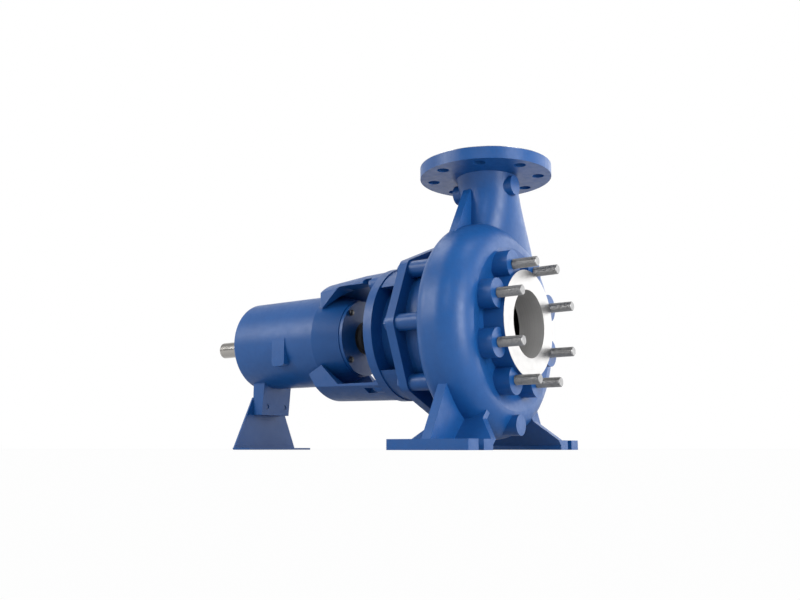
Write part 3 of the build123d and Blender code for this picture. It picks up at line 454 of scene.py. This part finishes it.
# %% Zones of the casing
ring_radius, ring_start_x = 0.0800, 0.29345
bore_radius, back_opening_radius, chamber_x = 0.0504, 0.0925, 0.2
neck_foot_z, neck_bend_z, neck_top_z = 0.293, 0.380, 0.411
neck_half_foot, neck_half_top = 0.0335, 0.0415
far_foot_y, far_bend_y, far_top_drop = 0.1255, 0.0565, -0.0095
near_bend_y, near_top_y = -0.0300, -0.0405
chamber_y, chamber_z = 0.0045, 0.1755
front_round_from, front_round_x, front_round_size = 0.121, 0.228, 0.0355
rear_round_from, rear_round_x, rear_round_size = 0.141, 0.212, 0.0155
dish_from, dish_inner_x, dish_outer_x = 0.096, 0.2575, 0.2635
raised_face = 0.0025


def length_of(tree, first, second):
    """Length of the diagonal over two distances."""
    squares = [math_node(tree, "MULTIPLY", side, side) for side in (first, second)]
    return math_node(tree, "SQRT", math_node(tree, "ADD", *squares))


def beyond(tree, value, edge):
    """How far a value lies past an edge, or zero."""
    return math_node(tree, "MAXIMUM", math_node(tree, "SUBTRACT", value, edge), 0.0)


def both(tree, first, second):
    """A mask that holds where two masks hold."""
    return math_node(tree, "MULTIPLY", first, second)


def below(tree, value, edge):
    """A mask where a value is less than an edge."""
    return math_node(tree, "LESS_THAN", value, edge)


def above(tree, value, edge):
    """A mask where a value is more than an edge."""
    return math_node(tree, "GREATER_THAN", value, edge)


def half_of(tree, value):
    """Half of a value."""
    return math_node(tree, "MULTIPLY", value, 0.5)


def neck_mask(tree, x, y, z):
    """A mask of the passage in the swan neck, oval and leaning back to the flange."""
    across = math_node(tree, "SUBTRACT", x, discharge_axis_x)
    half_length = map_node(tree, z, neck_foot_z, neck_top_z, neck_half_foot, neck_half_top)
    far_edge = map_node(tree, z, neck_foot_z, neck_bend_z, far_foot_y, far_bend_y)
    far_drop = map_node(tree, z, neck_bend_z, neck_top_z, 0.0, far_top_drop)
    far_edge = math_node(tree, "ADD", far_edge, far_drop)
    near_edge = map_node(tree, z, neck_bend_z, neck_top_z, near_bend_y, near_top_y)
    half_width = half_of(tree, math_node(tree, "SUBTRACT", far_edge, near_edge))
    centre = half_of(tree, math_node(tree, "ADD", far_edge, near_edge))
    along = math_node(tree, "DIVIDE", across, half_length)
    aside = math_node(tree, "DIVIDE", math_node(tree, "SUBTRACT", y, centre), half_width)
    oval = length_of(tree, along, aside)
    return both(tree, below(tree, oval, 1.0), above(tree, z, neck_foot_z - 0.003))


def chamber_mask(tree, x, y, z):
    """A mask of the round vortex chamber, with its dished front and both rounded rims."""
    off_y = math_node(tree, "SUBTRACT", y, chamber_y)
    off_z = math_node(tree, "SUBTRACT", z, chamber_z)
    swirl = length_of(tree, off_y, off_z)
    front_round = length_of(
        tree, beyond(tree, swirl, front_round_from), beyond(tree, x, front_round_x)
    )
    backward = math_node(tree, "MULTIPLY", x, -1.0)
    rear_round = length_of(
        tree, beyond(tree, swirl, rear_round_from), beyond(tree, backward, -rear_round_x)
    )
    dish_x = map_node(tree, swirl, dish_from, front_round_from, dish_inner_x, dish_outer_x)
    in_front = below(tree, front_round, front_round_size)
    in_rear = below(tree, rear_round, rear_round_size)
    return both(tree, below(tree, x, dish_x), both(tree, in_front, in_rear))


def zone_sockets(tree, coords):
    """Masks of the machined ring, the bores, the water passages and the raised face."""
    parts = tree.nodes.new("ShaderNodeSeparateXYZ")
    join(tree, coords, parts.inputs[0])
    x, y, z = parts.outputs["X"], parts.outputs["Y"], parts.outputs["Z"]
    radial = length_of(tree, y, math_node(tree, "SUBTRACT", z, shaft_height))
    ring = both(tree, below(tree, radial, ring_radius), above(tree, x, ring_start_x))
    in_bore = both(tree, below(tree, radial, bore_radius), above(tree, x, chamber_x))
    in_back = both(tree, below(tree, radial, back_opening_radius), below(tree, x, chamber_x))
    bore = math_node(tree, "MAXIMUM", in_bore, in_back)
    wet = math_node(tree, "MAXIMUM", neck_mask(tree, x, y, z), chamber_mask(tree, x, y, z))
    return ring, bore, wet, above(tree, z, flange_top_z - raised_face)


def casing_finish():
    """Enamel outside, turned faces and bare casting where the masks say so."""
    finish, tree, shader, coords = start_finish("casing_enamel_and_machined")
    colour, gloss = enamel(tree, shader, coords, casting_grain, casting_depth)
    ring, bore, wet, raised = zone_sockets(tree, coords)
    centred = about_shaft(tree, coords)
    turning = use_group(tree, turned_rings, centred, Pitch=0.0011)
    streak = stretch(tree, turning.outputs["Streak"])
    rust = stretch(tree, noise(tree, coords, scale=60.0, detail=4.0, roughness=0.6))
    raw = mix_colours(tree, rust, (0.085, 0.080, 0.075, 1.0), (0.16, 0.155, 0.145, 1.0))
    bore_grey = mix_colours(tree, streak, (0.42, 0.41, 0.40, 1.0), (0.58, 0.57, 0.56, 1.0))
    bright = mix_colours(tree, streak, (0.46, 0.455, 0.45, 1.0), (0.53, 0.525, 0.52, 1.0))
    colour = mix_colours(tree, wet, colour, raw)
    colour = mix_colours(tree, bore, colour, bore_grey)
    faces = math_node(tree, "MAXIMUM", ring, raised)
    colour = mix_colours(tree, faces, colour, bright)
    join(tree, colour, shader.inputs["Base Color"])
    metal = math_node(tree, "MAXIMUM", faces, math_node(tree, "MULTIPLY", bore, 0.35))
    join(tree, metal, shader.inputs["Metallic"])
    gloss = math_node(tree, "ADD", gloss, math_node(tree, "MULTIPLY", wet, 0.25), True)
    gloss = math_node(tree, "SUBTRACT", gloss, math_node(tree, "MULTIPLY", faces, 0.04), True)
    join(tree, gloss, shader.inputs["Roughness"])
    return finish


casing_coat = casing_finish()
print("casing finish nodes", len(casing_coat.node_tree.nodes))

# %% [markdown]
# ## Steels and the other bare materials
#
# Turned steel shows rings, ground steel is nearly even, and cast iron is dark and dull. They share
# the ring group and noise, each with its own colours, pitch and depth.

# %% Bare metals
def turned_metal(name, dark, light, rough, pitch, depth):
    """Bare steel with turning rings about the shaft."""
    finish, tree, shader, coords = start_finish(name)
    centred = about_shaft(tree, coords)
    turning = use_group(tree, turned_rings, centred, Pitch=pitch)
    tone = stretch(tree, turning.outputs["Streak"])
    join(tree, mix_colours(tree, tone, dark, light), shader.inputs["Base Color"])
    smear = noise(tree, coords, scale=130.0, detail=3.0, roughness=0.6)
    join(tree, stretch(tree, smear, rough - 0.05, rough + 0.07), shader.inputs["Roughness"])
    shader.inputs["Metallic"].default_value = 1.0
    emboss(tree, shader, turning.outputs["Height"], depth)
    return finish


def rough_metal(name, dark, light, rough, scale, depth, metallic=0.0):
    """Cast or sintered stuff with a grain and no direction."""
    finish, tree, shader, coords = start_finish(name)
    grain = noise(tree, coords, scale, detail=4.0, roughness=0.6)
    tone = stretch(tree, grain)
    join(tree, mix_colours(tree, tone, dark, light), shader.inputs["Base Color"])
    smear = noise(tree, coords, scale / 3)
    join(tree, stretch(tree, smear, rough - 0.08, rough + 0.08), shader.inputs["Roughness"])
    shader.inputs["Metallic"].default_value = metallic
    emboss(tree, shader, grain, depth)
    return finish


bare_steel = turned_metal(
    "bare_turned_steel", (0.34, 0.33, 0.32, 1.0), (0.46, 0.45, 0.435, 1.0),
    rough=0.30, pitch=0.0007, depth=0.000002,
)
stud_steel = rough_metal(
    "bright_stud_steel", (0.25, 0.25, 0.252, 1.0), (0.33, 0.33, 0.332, 1.0),
    rough=0.42, scale=260.0, depth=0.000004, metallic=1.0,
)
ground_steel = turned_metal(
    "fine_ground_steel", (0.34, 0.325, 0.305, 1.0), (0.42, 0.405, 0.385, 1.0),
    rough=0.22, pitch=0.0004, depth=0.000001,
)
hard_steel = turned_metal(
    "bearing_steel", (0.58, 0.58, 0.58, 1.0), (0.72, 0.72, 0.72, 1.0),
    rough=0.14, pitch=0.0003, depth=0.000001,
)
seal_steel = turned_metal(
    "seal_stainless", (0.55, 0.54, 0.52, 1.0), (0.70, 0.69, 0.67, 1.0),
    rough=0.22, pitch=0.0006, depth=0.000003,
)
# Painted shade: the front cover screws sit in the shade inside the lantern, and this near-black colour
# stands in for that shade.
shade_dark_screw = rough_metal(
    "screws_darkened_for_shade", (0.012, 0.014, 0.020, 1.0), (0.030, 0.034, 0.045, 1.0),
    rough=0.38, scale=300.0, depth=0.000010,
)
brass = turned_metal(
    "cage_brass", (0.52, 0.36, 0.13, 1.0), (0.68, 0.50, 0.22, 1.0),
    rough=0.26, pitch=0.0007, depth=0.000004,
)
dark_iron = rough_metal(
    "dark_primed_iron", (0.030, 0.034, 0.044, 1.0), (0.075, 0.080, 0.095, 1.0),
    rough=0.46, scale=220.0, depth=0.00008,
)
grey_iron = rough_metal(
    "bare_grey_casting", (0.13, 0.128, 0.122, 1.0), (0.24, 0.235, 0.225, 1.0),
    rough=0.52, scale=260.0, depth=0.00012, metallic=0.6,
)
rubber = rough_metal(
    "black_rubber", (0.012, 0.012, 0.013, 1.0), (0.030, 0.030, 0.031, 1.0),
    rough=0.62, scale=500.0, depth=0.00003,
)
fibre = rough_metal(
    "gasket_fibre", (0.035, 0.050, 0.070, 1.0), (0.060, 0.078, 0.100, 1.0),
    rough=0.80, scale=700.0, depth=0.00005,
)
ceramic = rough_metal(
    "lapped_ceramic", (0.72, 0.69, 0.62, 1.0), (0.82, 0.80, 0.74, 1.0),
    rough=0.22, scale=400.0, depth=0.000003,
)
carbon = rough_metal(
    "lapped_carbon", (0.020, 0.020, 0.022, 1.0), (0.045, 0.045, 0.048, 1.0),
    rough=0.30, scale=500.0, depth=0.000004,
)
print("finishes", len(bpy.data.materials))

# %% [markdown]
# ## Handing out the finishes
#
# Each solid gets one finish. Seen pieces were judged against the photograph; hidden ones have what
# such pieces are usually made of.

# %% Finish of each solid
finish_of = {
    "volute_casing": casing_coat,
    "adapter": cast_blue,
    "bearing_bracket": cast_blue,
    "rear_bearing_cover": cast_blue,
    "support_foot": sheet_blue,
    "casing_screws": screw_blue,
    "bracket_screws": screw_blue,
    "rear_cover_screws": screw_blue,
    "foot_bolts": screw_blue,
    "casing_cover": cast_blue,
    "seal_cover": dark_iron,
    "front_bearing_cover": cast_blue,
    "shaft": ground_steel,
    "impeller": grey_iron,
    "cover_gasket": fibre,
    "seal_seat": ceramic,
    "seal_ring": carbon,
    "front_cage": brass,
    "rear_cage": brass,
    "front_lip_seal": rubber,
    "rear_lip_seal": rubber,
    "flinger": rubber,
    "front_outer_race": hard_steel,
    "front_inner_race": hard_steel,
    "front_rollers": hard_steel,
    "rear_outer_race": hard_steel,
    "rear_inner_race": hard_steel,
    "rear_balls": hard_steel,
    "shaft_sleeve": seal_steel,
    "seal_bellows": seal_steel,
    "seal_collar": seal_steel,
}
for name, solid in nodes.items():
    finish = finish_of.get(name, bare_steel)
    solid.data.materials.clear()
    solid.data.materials.append(finish)
print("bare steel on", sorted(set(nodes) - set(finish_of)))

# %% [markdown]
# ## Threaded studs
#
# The suction pipe is bolted to studs screwed into the bosses. A plain rod would do from afar, but
# close up a stud needs its thread. One turn of the thread is drawn as a zigzag of points and the
# Screw modifier winds it along the axis. A chamfered rod then trims both ends.

# %% One stud
stud_low, stud_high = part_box("suction_studs")
stud_circle, stud_count = 0.180, 8
thread_pitch = 0.002
crest, root, tail = 0.00735, 0.00668, 0.0070
stud_chamfer = 0.0011
boss_top_x = suction_face_x - 0.006
tiny = 1e-6


def deselect():
    """Leaves nothing selected, because an operator acts on all that is."""
    if bpy.context.object and bpy.context.object.mode != "OBJECT":
        bpy.ops.object.mode_set(mode="OBJECT")
    bpy.ops.object.select_all(action="DESELECT")


def activate(piece):
    """Makes one object the only selected and active one."""
    deselect()
    piece.select_set(True)
    bpy.context.view_layer.objects.active = piece


def bar_along_x(name, start, end, radius, sides, bevel=0.0):
    """A cylinder along X with bevelled rims, centred on the X axis."""
    deselect()
    bpy.ops.mesh.primitive_cylinder_add(
        vertices=sides, radius=radius, depth=end - start,
        location=((start + end) / 2, 0, 0), rotation=(0, pi / 2, 0),
    )
    made = bpy.context.object
    made.name = name
    bpy.ops.object.transform_apply(location=True, rotation=True, scale=True)
    if bevel:
        bpy.ops.object.mode_set(mode="EDIT")
        bpy.ops.mesh.select_mode(type="EDGE")
        bpy.ops.mesh.select_all(action="DESELECT")
        bpy.ops.object.mode_set(mode="OBJECT")
        for edge in made.data.edges:
            ends = [made.data.vertices[i].co.x for i in edge.vertices]
            edge.select = abs(ends[0] - ends[1]) < tiny
        bpy.ops.object.mode_set(mode="EDIT")
        bpy.ops.mesh.bevel(offset=bevel, offset_type="OFFSET", segments=1, affect="EDGES")
        bpy.ops.object.mode_set(mode="OBJECT")
    return made


def thread_blank(name, start, end):
    """A closed threaded bar a little longer than the finished one."""
    deselect()
    mesh = bpy.data.meshes.new(name)
    low = start - 1.5 * thread_pitch
    steps = [(0.0, root), (0.38, crest), (0.62, crest), (1.0, root)]
    points = [(low + share * thread_pitch, 0.0, radius) for share, radius in steps]
    mesh.from_pydata(points, [(0, 1), (1, 2), (2, 3)], [])
    made = bpy.data.objects.new(name, mesh)
    bpy.context.scene.collection.objects.link(made)
    activate(made)
    wind = made.modifiers.new("thread", "SCREW")
    wind.axis = "X"
    wind.angle = 2 * pi
    wind.screw_offset = thread_pitch
    wind.iterations = int((end - start) / thread_pitch) + 3
    wind.steps = wind.render_steps = 20
    wind.use_merge_vertices = True
    wind.merge_threshold = 1e-5
    bpy.ops.object.modifier_apply(modifier=wind.name)
    bpy.ops.object.mode_set(mode="EDIT")
    spare = thread_pitch * 0.25
    for cut_x, at_start in ((start - spare, True), (end + spare, False)):
        bpy.ops.mesh.select_all(action="SELECT")
        bpy.ops.mesh.bisect(
            plane_co=(cut_x, 0, 0), plane_no=(1, 0, 0), use_fill=True,
            clear_inner=at_start, clear_outer=not at_start,
        )
    bpy.ops.mesh.select_all(action="SELECT")
    bpy.ops.mesh.remove_doubles(threshold=tiny)
    bpy.ops.mesh.normals_make_consistent(inside=False)
    bpy.ops.object.mode_set(mode="OBJECT")
    return made


def trim(piece, cutter):
    """Keeps what both bodies share and removes the cutter."""
    activate(piece)
    cut = piece.modifiers.new("trim", "BOOLEAN")
    cut.operation = "INTERSECT"
    cut.solver = "EXACT"
    cut.object = cutter
    bpy.ops.object.modifier_apply(modifier=cut.name)
    bpy.data.objects.remove(cutter, do_unlink=True)
    return piece


def merge(first, second):
    """Joins two closed bodies into one object."""
    deselect()
    second.select_set(True)
    first.select_set(True)
    bpy.context.view_layer.objects.active = first
    bpy.ops.object.join()
    return bpy.context.object


stud = thread_blank("stud", boss_top_x, stud_high.x)
limit = bar_along_x("stud_limit", boss_top_x, stud_high.x, crest + 0.00002, 40, stud_chamfer)
stud = trim(stud, limit)
stud = merge(stud, bar_along_x("stud_tail", stud_low.x, boss_top_x, tail, 32))
print("stud from", round(stud_low.x, 4), "to", round(stud_high.x, 4))

# %% [markdown]
# ## Copies round a circle
#
# Eight equal studs stand on one circle. The first is copied with its own mesh for each place, moved
# there, and all copies are joined as one piece, because one solid node stands for all of them.

# %% Copies and joining
def at_angles(circle, angles):
    """Places (y, z) on a circle about the shaft at given angles."""
    turns = [radians(angle) for angle in angles]
    return [(circle / 2 * cos(a), shaft_height + circle / 2 * sin(a)) for a in turns]


def circle_places(circle, count, start_angle):
    """Places (y, z) spaced evenly on a circle about the shaft."""
    return at_angles(circle, [start_angle + 360.0 / count * k for k in range(count)])


def spread(model, name, places, spin=0.0):
    """Copies the model to each (y, z) place and joins the copies into one piece."""
    copies = []
    for y, z in places:
        deselect()
        twin = model.copy()
        twin.data = model.data.copy()
        bpy.context.scene.collection.objects.link(twin)
        turned = Matrix.Rotation(spin * len(copies), 4, "X")
        twin.matrix_world = Matrix.Translation((0, y, z)) @ turned
        activate(twin)
        bpy.ops.object.transform_apply(location=True, rotation=True, scale=True)
        copies.append(twin)
    deselect()
    for twin in copies:
        twin.select_set(True)
    bpy.context.view_layer.objects.active = copies[0]
    bpy.ops.object.join()
    whole = bpy.context.object
    whole.name = name
    bpy.data.objects.remove(model, do_unlink=True)
    return whole


def settle(piece, finish, body, node):
    """Finish, smooth shading, body, replaced solid and material slot of a piece."""
    piece.data.materials.clear()
    piece.data.materials.append(finish)
    activate(piece)
    bpy.ops.object.shade_smooth_by_angle(angle=radians(32))
    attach(piece, body)
    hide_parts(node)
    return piece


stud_spin = radians(67)
stud_places = circle_places(stud_circle, stud_count, 180.0 / stud_count)
studs = spread(stud, "threaded_studs", stud_places, stud_spin)
settle(studs, stud_steel, "pump_body", "suction_studs")
print("studs", stud_count, "triangles about", 2 * len(studs.data.polygons))

# %% [markdown]
# ## Hexagon screws
#
# A real screw head is a hexagon turned to a cone at its top, with a round washer face under it. The
# hexagon is added as a six-sided cylinder and trimmed by a bar with a wide bevel, which leaves the
# curved chamfer that every wrench user knows. The shank is a plain bar in its hole.

# %% One screw and its copies
head_height, head_width = 0.64, 1.5
screw_spin = radians(17)
head_spare = 0.002


def select_end(bar, end_x):
    """Selects the end face of a bar that lies at end_x."""
    for face in bar.data.polygons:
        face.select = abs(face.normal.x) > 0.9 and abs(face.center.x - end_x) < 1e-5


def hexagon_screw(name, seat, direction, size, reach):
    """A hexagon screw along X. Its head rests at seat and its shank runs along direction."""
    tall, flats = head_height * size, head_width * size
    corner = flats / sqrt(3)
    far = seat - direction * tall
    low, high = min(seat, far), max(seat, far)
    head = bar_along_x(name, low, high, corner, 6)
    limit = bar_along_x("head_limit", low - head_spare, high, corner * 0.995, 48)
    activate(limit)
    bpy.ops.object.mode_set(mode="EDIT")
    bpy.ops.mesh.select_all(action="DESELECT")
    bpy.ops.mesh.select_mode(type="FACE")
    bpy.ops.object.mode_set(mode="OBJECT")
    select_end(limit, low - head_spare)
    bpy.ops.object.mode_set(mode="EDIT")
    bpy.ops.transform.translate(value=(head_spare, 0, 0))
    bpy.ops.object.mode_set(mode="OBJECT")
    select_end(limit, far)
    bpy.ops.object.mode_set(mode="EDIT")
    bpy.ops.mesh.inset(thickness=flats * 0.095)
    bpy.ops.object.mode_set(mode="OBJECT")
    for vertex in limit.data.vertices:
        off_axis = sqrt(vertex.co.y ** 2 + vertex.co.z ** 2)
        if abs(vertex.co.x - far) < tiny and off_axis > corner * 0.9:
            vertex.co.x += direction * size * 0.085
    head = trim(head, limit)
    shank_end = seat + direction * reach
    start, end = sorted((seat, shank_end))
    return merge(head, bar_along_x("shank", start, end, size / 2, 24, size * 0.07))


def screw_set(node, name, seat, direction, size, reach, places, finish, slot):
    """All screws of one solid node, as one piece."""
    model = hexagon_screw(name, seat, direction, size, reach)
    piece = spread(model, name, places, screw_spin)
    return settle(piece, finish, "pump_body", node)


lug_angles = (53.0, 127.0, 241.0, 299.0)
bearing_cover_places = circle_places(0.107, 4, 45.0)
seal_cover_places = circle_places(0.096, 4, 45.0)
foot_bolt_y, foot_bolt_z = 0.022, shaft_height - 0.107
foot_bolt_places = [(-foot_bolt_y, foot_bolt_z), (foot_bolt_y, foot_bolt_z)]
screw_sets = [
    dict(
        node="casing_screws", name="casing_hex_screws", seat=0.1325, direction=1.0, size=0.012,
        places=circle_places(0.236, 8, 0.0), finish=screw_blue, slot="blue_paint",
    ),
    dict(
        node="bracket_screws", name="bracket_hex_screws", seat=0.0575, direction=1.0, size=0.010,
        places=at_angles(0.188, lug_angles), finish=screw_blue, slot="blue_paint",
    ),
    dict(
        # Painted shade: the near-black finish of these screws stands in for the shade inside the
        # lantern.
        node="front_cover_screws", name="front_cover_hex_screws", seat=-0.0035, direction=-1.0,
        size=0.006, places=bearing_cover_places, finish=shade_dark_screw, slot="bare_steel",
    ),
    dict(
        node="rear_cover_screws", name="rear_cover_hex_screws", seat=-0.2345, direction=1.0,
        size=0.006, places=bearing_cover_places, finish=screw_blue, slot="blue_paint",
    ),
    dict(
        node="seal_cover_screws", name="seal_cover_hex_screws", seat=0.0890, direction=1.0,
        size=0.008, places=seal_cover_places, finish=bare_steel, slot="bare_steel",
    ),
    dict(
        node="foot_bolts", name="foot_hex_bolts", seat=-0.2205, direction=1.0, size=0.008,
        places=foot_bolt_places, finish=screw_blue, slot="blue_paint",
    ),
]
for row in screw_sets:
    low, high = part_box(row["node"])
    tip_x = high.x if row["direction"] > 0 else low.x
    piece = screw_set(reach=abs(tip_x - row["seat"]), **row)
    print(row["name"], "from", round(low.x, 4), "to", round(high.x, 4), len(piece.data.polygons))
